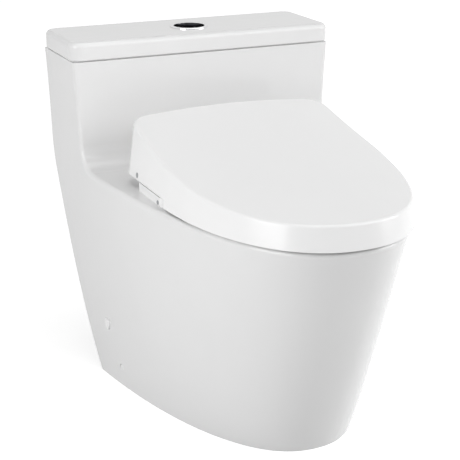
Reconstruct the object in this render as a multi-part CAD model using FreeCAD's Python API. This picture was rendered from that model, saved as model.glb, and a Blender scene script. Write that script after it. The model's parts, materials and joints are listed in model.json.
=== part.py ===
import FreeCAD, Part
import math
import os

# One-piece bidet toilet, millimetres. X runs across, the front faces -Y, Z is up.
# A "reach" is a distance in front of the wall plane that the tank lid's back touches.

# Overall size
overall_width = 491.0
overall_depth = 735.0
overall_height = 598.0

# China body: outline at the floor, at the rim and at the tank's top
floor_inset = 3.0
floor_centre = -157.7
floor_tip = 601.3
floor_power = 2.17
floor_back = 179.0
rim_inset = 7.0
rim_centre = -12.0
rim_tip = 729.0
rim_power = 2.41
top_power = 2.8
skirt_bulge = 4.5
deck_height = 379.5
deck_thick = 16.0
tank_front = 165.0
tank_back = 3.0
back_bend_drop = 7.5
back_bend = 150.0
back_behind = 10.0
tank_inset = 6.0
cove_radius = 38.0
edge_round = 7.0
china_wall = 14.0
tank_corner = 24.0
tank_floor_round = 14.0

# Bowl well and waterways
bowl_centre = 546.0
bowl_half_length = 151.0
bowl_rim_land = 106.0
bowl_floor = 160.0
bowl_wall = 12.0
bowl_lip_round = 7.0
trap_radius = 26.0
trap_wall = 11.0
trap_bend = 40.0
trap_start = 505.0
trap_start_height = 186.0
sump_reach = 497.0
sump_height = 70.0
upleg_reach = 420.0
upleg_height = 62.0
weir_reach = 388.0
weir_height = 262.0
outlet_reach = 305.0
duct_radius = 26.0
duct_wall = 10.0
duct_drop = 49.5
duct_end = 440.0

# Tank lid and its shadow gap
lid_thick = 31.0
lid_depth = 168.0
lid_corner = 22.0
lid_round = 9.0
lid_foot_round = 2.0
shadow_gap = 2.5
lid_overhang = 1.5
lid_bearing_inset = 5.0
lid_plate = 18.0
lid_rib = 4.0
lid_rib_drop = 8.0
lid_rib_gap = 4.0

# Dual flush button
button_reach = 90.0
button_radius = 27.0
button_thick = 9.0
button_dish = 2.2
button_split = 4.0
button_gap = 0.8
bezel_flange = 4.0
bezel_flange_thick = 2.0
bezel_tube = 2.0
bezel_depth = 40.0
bezel_round = 1.0
bezel_gap = 0.8
button_stand = 1.0
bezel_floor = 3.0
button_nut_rim = 9.0
button_nut_thick = 9.0
nut_notches = 6
nut_notch = 3.0
rod_offset = 16.0
rod_radius = 3.5
rod_round = 1.2
rod_hole_gap = 1.0
button_spring_wire = 1.0
button_spring_radius = 6.0
button_spring_turns = 4

# Flush valve in the tank
valve_hole = 34.0
valve_seat_bore = 27.0
valve_seat_wall = 4.5
valve_seat_drop = 26.0
valve_flange = 44.0
valve_flange_thick = 4.0
valve_rim_height = 4.0
gasket_thick = 3.0
seal_thick = 3.0
seal_radius = 32.0
disc_thick = 4.0
stem_radius = 8.0
stem_bore = 5.5
stem_height = 66.0
tower_radius = 42.0
tower_wall = 3.0
tower_headroom = 68.0
tower_cap = 5.0
window_width = 34.0
window_height = 28.0
window_sill = 5.0
pad_radius = 6.0
pad_length = 18.0
pad_stand = 7.0
pad_gap = 0.4
pad_round = 1.5
pad_guide_gap = 0.5

# Fill valve in the tank
fill_inset = 79.0
shank_radius = 10.3
shank_drop = 34.0
shank_past = 2.0
shank_tail = 9.8
shank_bore = 5.2
shank_gap = 1.0
column_radius = 13.0
column_headroom = 49.0
column_end = 13.0
fill_flange = 20.0
fill_flange_thick = 5.0
fill_cap_radius = 22.0
fill_cap_height = 25.0
fill_cap_round = 5.0
nozzle_length = 10.0
float_radius = 32.0
float_height = 55.0
float_headroom = 13.0
float_round = 4.0
float_gap = 0.8
inlet_nut_radius = 19.0
nut_sides = 6
inlet_nut_thick = 11.0
refill_radius = 4.0
refill_bore = 2.6
refill_bend = 20.0
refill_offset = -30.0
refill_end_drop = 10.0
refill_gap = 0.1

# Bidet lid
cover_half = 191.0
cover_widest = 410.0
cover_tip = 735.0
cover_power = 2.2
cover_rear = 255.0
cover_corner = 30.0
cover_low_rise = 3.5
cover_side_rise = 16.5
cover_step = 440.0
cover_wall = 3.5
cover_rear_rise = 115.5
cover_front_rise = 41.5
cover_sweep = 2380.0
cover_crown = 1670.0
cover_round = 4.5
cover_guide_height = 137.0
cover_side_draft = 18.0
cover_front_draft = 29.0
cover_lip_rise = 98.5
cover_rear_gap = 1.5
cover_heel = 37.0

# Hinge line of the lid and the seat
hinge_reach = 285.0
hinge_rise = 50.5
pin_radius = 4.0
hinge_fit = 0.05
hinge_boss = 9.0
side_gap = 0.7
seat_arm_thick = 8.0
lid_arm_thick = 7.0
lid_screw_reach = 318.0
lid_screw_rise = 23.5
lid_screw_radius = 2.0
lid_screw_head = 3.6
lid_screw_head_thick = 1.6
lid_plug_radius = 4.6
lid_plug_fit = 0.1
lid_plug_stand = 0.35
lid_foot = 6.2
lid_ledge = 2.0
damper_radius = 7.5
damper_length = 48.0
damper_foot = 8.0
pin_depth = 24.0

# Seat ring
seat_half = 181.0
seat_tip = 716.0
seat_rear = 438.0
seat_rise = 6.5
seat_thick = 22.0
seat_round = 8.0
seat_hole_centre = 567.0
seat_hole_length = 105.0
seat_hole_width = 103.0
wand_relief_width = 26.0
wand_relief_height = 11.0
seat_arm_front = 452.0
seat_arm_low_rise = 19.0
seat_arm_high_rise = 27.5
bumper_radius = 8.0
bumper_gap = 0.4
bumper_round = 1.8
seat_bumper_across_rear = 158.0
seat_bumper_reach_rear = 520.0
seat_bumper_across_front = 97.0
seat_bumper_reach_front = 660.0
lid_bumper_across = 120.0
lid_bumper_reach = 590.0
lid_bumper_thick = 5.0

# Seat unit casing
unit_half = 163.0
unit_rear = 263.0
unit_front = 432.0
unit_corner = 14.0
unit_round = 8.0
unit_rear_rise = 86.5
unit_front_rise = 60.5
unit_wall = 3.0
base_half = 189.0
base_side_rear = 316.0
base_rise = 14.5
base_floor_rise = 6.5

# Mounting of the seat unit on the deck
plate_half = 95.0
plate_near = 330.0
plate_far = 362.0
plate_thick = 4.0
plate_gap = 0.4
plate_corner = 6.5
bolt_across = 75.0
bolt_radius = 3.0
bolt_head = 6.5
bolt_head_thick = 2.5
bolt_head_gap = 0.2
bolt_drop = 40.0
deck_hole = 6.5
mount_washer = 14.0
mount_washer_thick = 3.0
mount_nut = 9.0
mount_nut_thick = 8.0

# Spray wand
wand_radius = 7.0
wand_length = 138.0
wand_tip_length = 14.0
wand_fit = 0.06
wand_exit_rise = 4.5
wand_slope_degrees = 22.0
wand_rest = 4.0
wand_guide_wall = 2.5
wand_guide_near = 22.0
wand_guide_length = 88.0
wand_web = 6.0
wand_web_depth = 24.0
wand_opening = 10.5
tip_round = 3.5
spray_hole = 1.2
spray_hole_offset = 2.4

# Inner units of the seat
heater_width = 62.0
heater_depth = 68.0
heater_height = 46.0
heater_near = 300.0
heater_across = -118.0
heater_pipe = 5.0
heater_pipe_length = 12.0
heater_pipe_across = 15.5
heater_pipe_inset = 17.0
heater_round = 5.0
coil_radius = 11.0
coil_height = 30.0
valve_block = 28.0
valve_block_height = 16.0
valve_block_round = 3.5
valve_across = -52.0
valve_reach = 300.0
motor_radius = 12.0
motor_length = 34.0
motor_shaft = 2.0
motor_shaft_length = 6.0
motor_across = 22.0
motor_reach = 330.0
fan_across = 108.0
fan_reach = 345.0
fan_radius = 34.0
fan_height = 30.0
fan_shell = 2.0
fan_wheel_radius = 27.0
fan_wheel_height = 18.0
fan_wheel_floor = 5.0
fan_hub = 6.0
fan_shaft = 2.0
fan_blades = 12
fan_blade_thick = 1.5
fan_blade_length = 14.0
fan_blade_inset = 1.0
fan_mouth = 18.0
filter_width = 56.0
filter_depth = 34.0
filter_height = 22.0
filter_reach = 394.0
filter_slots = 5
filter_slot_width = 4.0
board_near = 20.0
board_far = 104.0
board_reach = 272.0
board_thick = 2.0
board_height = 44.0
chip_size = 12.0
chip_depth = 4.0
chip_count = 4
connector_across = 118.0
connector_rise = 24.5
connector_radius = 9.0
connector_neck = 8.0
connector_bore = 6.0
connector_reach = 12.0
connector_inside = 10.0
connector_collar = 12.0
connector_collar_thick = 3.0
gland_radius = 7.0
gland_bore = 3.5
gland_reach = 6.0

# Release button on the side of the base
release_reach = 413.0
release_rise = 4.8
release_radius = 3.5
release_fit = 0.1
release_round = 0.9
release_length = 9.0
release_stand = 1.2
release_bore = 16.0
release_wire = 0.5
release_spring_radius = 2.4
release_spring_turns = 4

# Floor fixings under the skirt
fixing_reach = 225.0
fixing_height = 109.0
cap_radius = 11.0
cap_thick = 4.0
cap_recess = 4.5
cap_round = 1.3
cap_fit = 0.1
foot_cap_reach = 262.0
foot_cap_height = 38.0
foot_cap_radius = 6.0
foot_cap_thick = 3.7
foot_cap_round = 1.0
foot_cap_recess = 4.0
side_screw_radius = 3.0
side_screw_fit = 0.1
side_screw_past = 8.0
side_screw_head = 6.0
side_screw_head_thick = 3.0
bracket_inset = 20.0
bracket_thick = 4.0
bracket_width = 40.0
bracket_foot = 44.0
bracket_over = 16.0
bracket_hole = 6.0
seal_ring_wall = 9.0
seal_ring_height = 24.0
seal_ring_gap = 0.3

# Plain allowances
overrun = 5.0
close_enough = 0.05
thread_fit = 0.05
outline_steps = 24
coil_steps = 4

# Shares of the height at which the outlines are drawn, and the bowl's shape
skirt_shares = (0.0, 0.5, 1.0)
hollow_shares = (0.0, 0.5, 1.0)
rim_side_share = 0.8
bowl_shares = (
    (0.0, 0.26, 1.0),
    (0.17, 0.44, 0.8),
    (0.45, 0.76, 0.36),
    (0.8, 0.96, 0.04),
    (1.0, 1.0, 0.0),
)

# Worked-out sizes
wall_plane = overall_depth / 2
top_half = overall_width / 2 - lid_overhang
rim_half = top_half - rim_inset
floor_half = rim_half - floor_inset
bowl_half_width = rim_half - bowl_rim_land
cover_low = deck_height + cover_low_rise
cover_side_low = deck_height + cover_side_rise
cover_rear_top = deck_height + cover_rear_rise
cover_front_top = deck_height + cover_front_rise
cover_lip_low = deck_height + cover_lip_rise
hinge_height = deck_height + hinge_rise
lid_screw_height = deck_height + lid_screw_rise
seat_low = deck_height + seat_rise
seat_arm_low = deck_height + seat_arm_low_rise
seat_arm_high = deck_height + seat_arm_high_rise
unit_top_rear = deck_height + unit_rear_rise
unit_top_front = deck_height + unit_front_rise
base_top = deck_height + base_rise
base_floor = deck_height + base_floor_rise
wand_exit_height = deck_height + wand_exit_rise
connector_height = deck_height + connector_rise
release_height = deck_height + release_rise
back_bend_height = deck_height - back_bend_drop
duct_height = deck_height - duct_drop
lid_under = overall_height - lid_thick
tank_top = lid_under - shadow_gap
tank_floor = deck_height
cavity_roof = deck_height - deck_thick
button_floor = overall_height - bezel_depth
bezel_inner = button_radius + button_gap
bezel_outer = bezel_inner + bezel_tube
lid_recess_roof = overall_height - lid_plate
valve_flange_low = tank_floor + gasket_thick
valve_rim_top = valve_flange_low + valve_flange_thick + valve_rim_height
tower_low = valve_flange_low + valve_flange_thick
tower_top = tank_top - tower_headroom
pad_top = tower_top + pad_stand
fill_flange_low = tank_floor + gasket_thick
column_low = fill_flange_low + fill_flange_thick
column_top = tank_top - column_headroom
lid_arm_outer = unit_half + side_gap + seat_arm_thick + side_gap + lid_arm_thick
seat_arm_inner = unit_half + side_gap
wand_slope = math.radians(wand_slope_degrees)
fill_reach = button_reach
fill_offset = fill_inset - top_half
button_top = overall_height + button_stand
button_low = button_top - button_thick
bolt_reach = (plate_near + plate_far) / 2
nozzle_height = column_top + fill_cap_height / 2


def place(across, reach, height):
    """A point from its offset across, its reach in front of the wall and its height."""
    return FreeCAD.Vector(across, wall_plane - reach, height)


def box(left, right, near, far, low, high):
    """A box between two offsets across, two reaches from the wall and two heights."""
    corner = place(left, far, low)
    return Part.makeBox(right - left, far - near, high - low, corner)


def upright(radius, across, reach, low, high):
    """A cylinder standing on Z."""
    return Part.makeCylinder(radius, high - low, place(across, reach, low))


def crosswise(radius, left, right, reach, height):
    """A cylinder lying along X."""
    return Part.makeCylinder(radius, right - left, place(left, reach, height), FreeCAD.Vector(1, 0, 0))


def lengthwise(radius, across, height, near, far):
    """A cylinder lying along Y, from one reach to a further one."""
    return Part.makeCylinder(radius, far - near, place(across, near, height), FreeCAD.Vector(0, -1, 0))


def mirrored(shape):
    """The same shape on the other side of the middle plane."""
    return shape.mirror(FreeCAD.Vector(0, 0, 0), FreeCAD.Vector(1, 0, 0))


def pair(shape):
    """A shape and its mirror image, as separate solids of one group."""
    return Part.makeCompound([shape, mirrored(shape)])


def side_plate(corners, left, right):
    """A plate of (reach, height) corners, between two offsets across."""
    points = [place(left, reach, height) for reach, height in corners]
    face = Part.Face(Part.makePolygon(points + points[:1]))
    return face.extrude(FreeCAD.Vector(right - left, 0, 0))


def round_edges(shape, radius, chosen):
    """The shape with every edge that the test picks rounded."""
    edges = [edge for edge in shape.Edges if chosen(edge)]
    return shape.makeFillet(radius, edges)


def middle(edge):
    """The point halfway along an edge."""
    return edge.valueAt((edge.FirstParameter + edge.LastParameter) / 2)


def stands(edge):
    """True for a straight edge along Z."""
    box_of = edge.BoundBox
    return box_of.ZLength > box_of.XLength + box_of.YLength


def lies_at(height):
    """A test for flat edges at one height."""
    def test(edge):
        bounds = edge.BoundBox
        return abs(bounds.ZMin - height) < close_enough and abs(bounds.ZMax - height) < close_enough
    return test


def rounded_block(left, right, near, far, low, high, corner):
    """A box with rounded upright corners."""
    return round_edges(box(left, right, near, far, low, high), corner, stands)


def blend(first, last, share):
    """A value part of the way from the first to the last."""
    return first + (last - first) * share


def spline_edge(points):
    """A smooth curve through points."""
    curve = Part.BSplineCurve()
    curve.interpolate(points)
    return curve.toShape()


def bullet(half, centre, tip, power, back, height):
    """A closed outline: a straight back and one superellipse round the front."""
    length = tip - centre
    start = math.asin(((back - centre) / length) ** (power / 2))
    points = []
    for step in range(outline_steps + 1):
        turn = start + (math.pi - 2 * start) * step / outline_steps
        side = math.copysign(abs(math.cos(turn)) ** (2 / power), math.cos(turn))
        points.append(place(half * side, centre + length * math.sin(turn) ** (2 / power), height))
    return Part.Wire([spline_edge(points), Part.makeLine(points[-1], points[0])])


def skirt_outline(share, inset, height):
    """The body's outline at a share of the way from the floor to the rim."""
    return bullet(
        blend(floor_half, rim_half, share) - inset,
        blend(floor_centre, rim_centre, share),
        skirt_tip(share) - inset,
        blend(floor_power, rim_power, share),
        -back_behind,
        height,
    )


def skirt_tip(share):
    """How far the body's front reaches at a share of the way up to the rim."""
    return blend(floor_tip, rim_tip, share) + skirt_bulge * 4 * share * (1 - share)


def outer_body():
    """Pedestal and tank as one solid, before anything is hollowed."""
    outlines = [skirt_outline(share, 0, deck_height * share) for share in skirt_shares]
    top_tip = skirt_tip(tank_top / deck_height)
    outlines.append(bullet(top_half, rim_centre, top_tip, top_power, -back_behind, tank_top))
    body = Part.makeLoft(outlines, True, False)
    body = body.cut(rear_space()).cut(front_space())
    return round_edges(body, edge_round, on_rim)


def rear_space():
    """The space behind the body: upright behind the tank, sloping under it."""
    lean = math.atan((floor_back - tank_back) / back_bend_height)
    tangent = back_bend * math.tan(lean / 2)
    start = place(-overall_width, tank_back, back_bend_height + tangent)
    reach = tank_back + tangent * math.sin(lean)
    end = place(-overall_width, reach, back_bend_height - tangent * math.cos(lean))
    sag = back_bend * (1 - math.cos(lean / 2))
    between = start + FreeCAD.Vector(0, -sag, -back_bend * math.sin(lean / 2))
    below = floor_back + overrun * math.tan(lean)
    corners = [end, place(-overall_width, below, -overrun), place(-overall_width, -overall_depth, -overrun)]
    corners.append(place(-overall_width, -overall_depth, overall_height))
    corners.append(place(-overall_width, tank_back, overall_height))
    lines = [Part.makeLine(a, b) for a, b in zip(corners, corners[1:] + [start])]
    edges = [Part.Arc(start, between, end).toShape()] + lines
    return Part.Face(Part.Wire(edges)).extrude(FreeCAD.Vector(2 * overall_width, 0, 0))


def front_space():
    """The space over the deck in front of the tank, with a cove at the tank's foot."""
    far = 2 * overall_depth
    high = overall_height
    bend = cove_radius * (1 - math.sqrt(0.5))
    start = place(-overall_width, tank_front, deck_height + cove_radius)
    between = place(-overall_width, tank_front + bend, deck_height + bend)
    end = place(-overall_width, tank_front + cove_radius, deck_height)
    corners = [end, place(-overall_width, far, deck_height), place(-overall_width, far, high)]
    corners.append(place(-overall_width, tank_front, high))
    lines = [Part.makeLine(a, b) for a, b in zip(corners, corners[1:] + [start])]
    edges = [Part.Arc(start, between, end).toShape()] + lines
    face = Part.Face(Part.Wire(edges))
    return face.extrude(FreeCAD.Vector(2 * overall_width, 0, 0))


def on_rim(edge):
    """True for the tank's front corners, the cove's ends and the rim's outer edge."""
    point = middle(edge)
    reach = wall_plane - point.y
    beside = abs(point.x) > rim_half * rim_side_share and reach > tank_front - overrun
    ahead = reach > rim_tip - edge_round
    return (beside or ahead) and deck_height - overrun < point.z < tank_top - overrun


def skirt_hollow():
    """The room inside the skirt, open at the floor and at the back."""
    outlines = []
    for share in hollow_shares:
        height = blend(-overrun, cavity_roof, share)
        outlines.append(skirt_outline(height / deck_height, china_wall, height))
    return Part.makeLoft(outlines, True, False)


def bowl_form(extra):
    """The bowl well, or its outside when a wall is added."""
    outlines = []
    for height_share, size_share, shift_share in bowl_shares:
        height = blend(bowl_floor - extra, deck_height, height_share)
        long_half = bowl_half_length * size_share + extra
        wide_half = bowl_half_width * size_share + extra
        reach = bowl_centre - (bowl_centre - trap_start) * shift_share
        centre = place(0, reach, height)
        edge = Part.Ellipse(centre, max(long_half, wide_half), min(long_half, wide_half)).toShape()
        if long_half > wide_half:
            edge.rotate(centre, FreeCAD.Vector(0, 0, 1), 90)
        outlines.append(Part.Wire([edge]))
    return Part.makeLoft(outlines, True, False)


def rounded_path(corners, radius):
    """Straight runs through corners joined by arcs of one radius."""
    edges = []
    start = corners[0]
    for before, here, after in zip(corners, corners[1:], corners[2:]):
        inward = (before - here).normalize()
        outward = (after - here).normalize()
        half_angle = inward.getAngle(outward) / 2
        tangent = radius / math.tan(half_angle)
        first = here + inward * tangent
        last = here + outward * tangent
        bisector = (inward + outward).normalize()
        crown = here + bisector * (radius / math.sin(half_angle) - radius)
        edges.append(Part.makeLine(start, first))
        edges.append(Part.Arc(first, crown, last).toShape())
        start = last
    edges.append(Part.makeLine(start, corners[-1]))
    return Part.Wire(edges)


def pipe(path, radius):
    """A round bar along a path."""
    start = path.Edges[0]
    point = start.valueAt(start.FirstParameter)
    along = start.tangentAt(start.FirstParameter)
    ring = Part.Wire([Part.makeCircle(radius, point, along)])
    return path.makePipeShell([ring], True, False)


def trap_path():
    """The waste's way from the bowl, over the weir and down to the floor."""
    return rounded_path([
        place(0, trap_start, trap_start_height),
        place(0, sump_reach, sump_height),
        place(0, upleg_reach, upleg_height),
        place(0, weir_reach, weir_height),
        place(0, outlet_reach, weir_height),
        place(0, outlet_reach, 0),
    ], trap_bend)


def duct_path():
    """The flush water's way from the tank's floor to the bowl."""
    return rounded_path([
        place(0, button_reach, tank_floor),
        place(0, button_reach, duct_height),
        place(0, duct_end, duct_height),
    ], trap_bend)


def toilet_body():
    """The china casting with its tank, bowl well, waterways and open skirt."""
    masses = bowl_form(bowl_wall)
    masses = masses.fuse(pipe(trap_path(), trap_radius + trap_wall))
    masses = masses.fuse(pipe(duct_path(), duct_radius + duct_wall))
    body = outer_body().cut(skirt_hollow().cut(masses))
    bowl = bowl_form(0)
    body = body.cut(bowl)
    body = body.cut(pipe(trap_path(), trap_radius))
    body = body.cut(pipe(duct_path(), duct_radius))
    body = body.cut(tank_room())
    for cutter in body_holes():
        body = body.cut(cutter)
    return round_edges(body, bowl_lip_round, on_bowl_lip)


def on_bowl_lip(edge):
    """True for the bowl's mouth on the deck."""
    bounds = edge.BoundBox
    flat = lies_at(deck_height)(edge)
    ahead = wall_plane - bounds.YMax > tank_front + cove_radius
    return flat and ahead and bounds.XLength > bowl_half_width


def tank_room():
    """The water's room in the tank."""
    half = top_half - china_wall - tank_inset
    near = tank_back + china_wall
    far = tank_front - china_wall
    room = rounded_block(-half, half, near, far, tank_floor, overall_height, tank_corner)
    return round_edges(room, tank_floor_round, lies_at(tank_floor))


def body_holes():
    """Bores for the valves, the seat's bolts and the side fixings."""
    holes = [upright(valve_hole, 0, button_reach, tank_floor - valve_seat_drop, tank_floor + overrun)]
    holes.append(upright(shank_radius + shank_gap, fill_offset, fill_reach, 0, tank_floor + overrun))
    for side in (-1, 1):
        holes.append(upright(deck_hole, side * bolt_across, bolt_reach, cavity_roof - overrun,
                             deck_height + overrun))
    fixing_face = skirt_face(fixing_reach, fixing_height) - cap_recess
    foot_face = skirt_face(foot_cap_reach, foot_cap_height) - foot_cap_recess
    wide = overall_width / 2
    for hole in (
        crosswise(cap_radius + cap_fit, fixing_face, wide, fixing_reach, fixing_height),
        crosswise(side_screw_radius + side_screw_fit, fixing_face - 2 * china_wall, wide, fixing_reach,
                  fixing_height),
        crosswise(foot_cap_radius + cap_fit, foot_face, wide, foot_cap_reach, foot_cap_height),
    ):
        holes.append(hole)
        holes.append(mirrored(hole))
    return holes


def skirt_face(reach, height):
    """How far the skirt's outside lies from the middle at a reach and a height."""
    share = height / deck_height
    half = blend(floor_half, rim_half, share)
    centre = blend(floor_centre, rim_centre, share)
    power = blend(floor_power, rim_power, share)
    return half * (1 - ((reach - centre) / (skirt_tip(share) - centre)) ** power) ** (1 / power)


def tank_lid():
    """The loose tank lid: a rounded slab on a bearing ring, with a locating rib."""
    half = overall_width / 2
    lid = rounded_block(-half, half, 0, lid_depth, lid_under, overall_height, lid_corner)
    lid = round_edges(lid, lid_round, lies_at(overall_height))
    lid = round_edges(lid, lid_foot_round, lies_at(lid_under))
    inset = lid_bearing_inset
    lid = lid.fuse(rounded_block(-half + inset, half - inset, tank_back + inset, tank_front - inset,
                                 tank_top, lid_under, lid_corner - inset))
    rib_side = top_half - china_wall - tank_inset - lid_rib_gap
    near = tank_back + china_wall + lid_rib_gap
    far = tank_front - china_wall - lid_rib_gap
    corner = lid_corner - inset
    rib_low = tank_top - lid_rib_drop
    lid = lid.fuse(rounded_block(-rib_side, rib_side, near, far, rib_low, lid_under, corner))
    thin = lid_rib
    recess = rounded_block(-rib_side + thin, rib_side - thin, near + thin, far - thin,
                           rib_low - overrun, lid_recess_roof, corner - thin)
    hole = upright(bezel_outer + bezel_gap, 0, button_reach, rib_low, overall_height + overrun)
    return lid.cut(recess).cut(hole)


def button_bezel():
    """The chrome ring and its threaded tube, with a floor that guides the rods."""
    high = overall_height + bezel_flange_thick
    ring = upright(bezel_outer + bezel_flange, 0, button_reach, overall_height, high)
    ring = round_edges(ring, bezel_round, lies_at(high))
    ring = ring.fuse(upright(bezel_outer, 0, button_reach, button_floor, overall_height))
    ring = ring.cut(upright(bezel_inner, 0, button_reach, button_floor + bezel_floor, high + overrun))
    for side in (-1, 1):
        ring = ring.cut(upright(rod_radius + rod_hole_gap, side * rod_offset, button_reach,
                                button_floor - overrun, overall_height))
    return ring.removeSplitter()


def button_nut():
    """The round nut that clamps the bezel under the tank lid."""
    rim = bezel_outer + button_nut_rim
    low = lid_recess_roof - button_nut_thick
    nut = ring_piece(rim, bezel_outer + thread_fit, 0, button_reach, low, lid_recess_roof)
    for notch in range(nut_notches):
        turn = 2 * math.pi * notch / nut_notches
        nut = nut.cut(upright(nut_notch, rim * math.cos(turn), button_reach + rim * math.sin(turn),
                              low - overrun, lid_recess_roof + overrun))
    return nut


def flush_button(side):
    """One half of the split button, dished on top; the full flush half is larger."""
    disc = upright(button_radius, 0, button_reach, button_low, button_top)
    dish = (button_radius ** 2 + button_dish ** 2) / (2 * button_dish)
    disc = disc.cut(Part.makeSphere(dish, place(0, button_reach, button_top + dish - button_dish)))
    if side < 0:
        left, right = button_split - button_gap / 2, bezel_outer
    else:
        left, right = -bezel_outer, button_split + button_gap / 2
    return disc.cut(box(left, right, 0, 2 * button_reach, 0, overall_height + overrun))


def push_rod(side):
    """The rod from a flush button down to the flush valve's pad."""
    low = pad_top + pad_gap
    rod = upright(rod_radius, side * rod_offset, button_reach, low, button_low)
    return round_edges(rod, rod_round, lies_at(low))


def corner_arc(start, corner, end):
    """The arc that touches the two sides of a corner at its ends."""
    chord = (end - start).Length / 2
    foot = (start + end) * 0.5
    rise = corner - foot
    lean = math.atan2(rise.Length, chord)
    return Part.Arc(start, foot + rise.normalize() * (chord * math.tan(lean / 2)), end).toShape()


def biarc(first, ahead, last, onward):
    """Two arcs between two points, along a given direction at each."""
    span = last - first
    both = ahead + onward
    square = both.dot(both) - 4
    slant = span.dot(both)
    arm = (slant - math.sqrt(slant ** 2 - square * span.dot(span))) / square
    corners = (first + ahead * arm, last - onward * arm)
    join = (corners[0] + corners[1]) * 0.5
    return [corner_arc(first, corners[0], join), corner_arc(join, corners[1], last)]


def coil_path(radius, pitch, turns):
    """A rising coil, as two arcs for each quarter of a turn."""
    ends = []
    for step in range(turns * coil_steps + 1):
        turn = 2 * math.pi * step / coil_steps
        point = FreeCAD.Vector(radius * math.cos(turn), radius * math.sin(turn), pitch * step / coil_steps)
        climb = pitch / (2 * math.pi * radius)
        ends.append((point, FreeCAD.Vector(-math.sin(turn), math.cos(turn), climb).normalize()))
    edges = []
    for (first, ahead), (last, onward) in zip(ends, ends[1:]):
        edges += biarc(first, ahead, last, onward)
    return Part.Wire(edges)


def helix_spring(wire, radius, turns, start, along, length):
    """A wire coil from a start point, standing on the along direction."""
    path = coil_path(radius, (length - wire) / turns, turns)
    first = path.Edges[0]
    begin = first.FirstParameter
    ring = Part.makeCircle(wire / 2, first.valueAt(begin), first.tangentAt(begin))
    coil = path.makePipeShell([Part.Wire([ring])], True, False)
    coil.translate(FreeCAD.Vector(0, 0, wire / 2))
    turn = FreeCAD.Rotation(FreeCAD.Vector(0, 0, 1), along)
    coil.Placement = FreeCAD.Placement(start, turn).multiply(coil.Placement)
    return coil


def button_spring(side):
    """The return spring round a push rod."""
    low = button_floor + bezel_floor
    start = place(side * rod_offset, button_reach, low)
    return helix_spring(button_spring_wire, button_spring_radius, button_spring_turns, start,
                        FreeCAD.Vector(0, 0, 1), button_low - low)


def valve_seat():
    """The flush valve's flanged seat in the tank's floor."""
    seat = upright(valve_flange, 0, button_reach, valve_flange_low, valve_flange_low + valve_flange_thick)
    outer = valve_seat_bore + valve_seat_wall
    seat = seat.fuse(upright(outer, 0, button_reach, tank_floor - valve_seat_drop, valve_rim_top))
    return seat.cut(upright(valve_seat_bore, 0, button_reach, 0, overall_height))


def ring_piece(outer, inner, across, reach, low, high):
    """A flat ring standing on Z."""
    ring = upright(outer, across, reach, low, high)
    return ring.cut(upright(inner, across, reach, low - overrun, high + overrun))


def seat_gasket():
    """The gasket under the flush valve's flange."""
    return ring_piece(valve_flange, valve_hole, 0, button_reach, tank_floor, valve_flange_low)


def valve_seal():
    """The rubber ring under the stem's disc."""
    return ring_piece(seal_radius, stem_bore, 0, button_reach, valve_rim_top, valve_rim_top + seal_thick)


def inlet_washer():
    """The washer under the fill valve's flange."""
    bore = shank_radius + thread_fit
    return ring_piece(fill_flange, bore, fill_offset, fill_reach, tank_floor, fill_flange_low)


def valve_tower():
    """The fixed cage of the flush valve, with water windows and pad guides."""
    tower = upright(tower_radius, 0, button_reach, tower_low, tower_top)
    tower = round_edges(tower, tower_wall, lies_at(tower_top))
    inner = tower_radius - tower_wall
    tower = tower.cut(upright(inner, 0, button_reach, tower_low - overrun, tower_top - tower_cap))
    wide = tower_radius + overrun
    low = tower_low + window_sill
    high = low + window_height
    half = window_width / 2
    tower = tower.cut(box(-wide, wide, button_reach - half, button_reach + half, low, high))
    tower = tower.cut(box(-half, half, button_reach - wide, button_reach + wide, low, high))
    for side in (-1, 1):
        tower = tower.cut(upright(pad_radius + pad_guide_gap, side * rod_offset, button_reach,
                                  tower_low, overall_height))
    return tower.cut(upright(refill_radius + refill_gap, refill_offset, button_reach,
                             tower_low, overall_height))


def valve_stem():
    """The lifting overflow tube with its disc."""
    low = valve_rim_top + seal_thick
    stem = upright(seal_radius, 0, button_reach, low, low + disc_thick)
    stem = stem.fuse(upright(stem_radius, 0, button_reach, low, low + stem_height))
    return stem.cut(upright(stem_bore, 0, button_reach, low - overrun, low + stem_height + overrun))


def push_pad(side):
    """The pad on top of the tower that a push rod presses."""
    pad = upright(pad_radius, side * rod_offset, button_reach, pad_top - pad_length, pad_top)
    return round_edges(pad, pad_round, lies_at(pad_top))


def fill_valve_body():
    """The fill valve's column, flange, threaded shank and the tail that the hose takes."""
    column = upright(column_radius, fill_offset, fill_reach, column_low, column_top)
    column = column.fuse(upright(fill_flange, fill_offset, fill_reach, fill_flange_low, column_low))
    thread_low = cavity_roof - inlet_nut_thick - shank_past
    column = column.fuse(upright(shank_radius, fill_offset, fill_reach, thread_low, fill_flange_low))
    column = column.fuse(upright(shank_tail, fill_offset, fill_reach, cavity_roof - shank_drop, thread_low))
    return column.cut(upright(shank_bore, fill_offset, fill_reach, 0, column_top - column_end))


def fill_valve_cap():
    """The valve head on top of the column, with its refill nozzle."""
    cap = upright(fill_cap_radius, fill_offset, fill_reach, column_top, column_top + fill_cap_height)
    cap = round_edges(cap, fill_cap_round, lies_at(column_top + fill_cap_height))
    nozzle_end = fill_offset + fill_cap_radius + nozzle_length
    nozzle = crosswise(refill_bore, fill_offset, nozzle_end, fill_reach, nozzle_height)
    return cap.fuse(nozzle)


def fill_float():
    """The cup float that slides on the column."""
    high = column_top - float_headroom
    bore = column_radius + float_gap
    cup = ring_piece(float_radius, bore, fill_offset, fill_reach, high - float_height, high)
    return round_edges(cup, float_round, lies_at(high))


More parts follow.
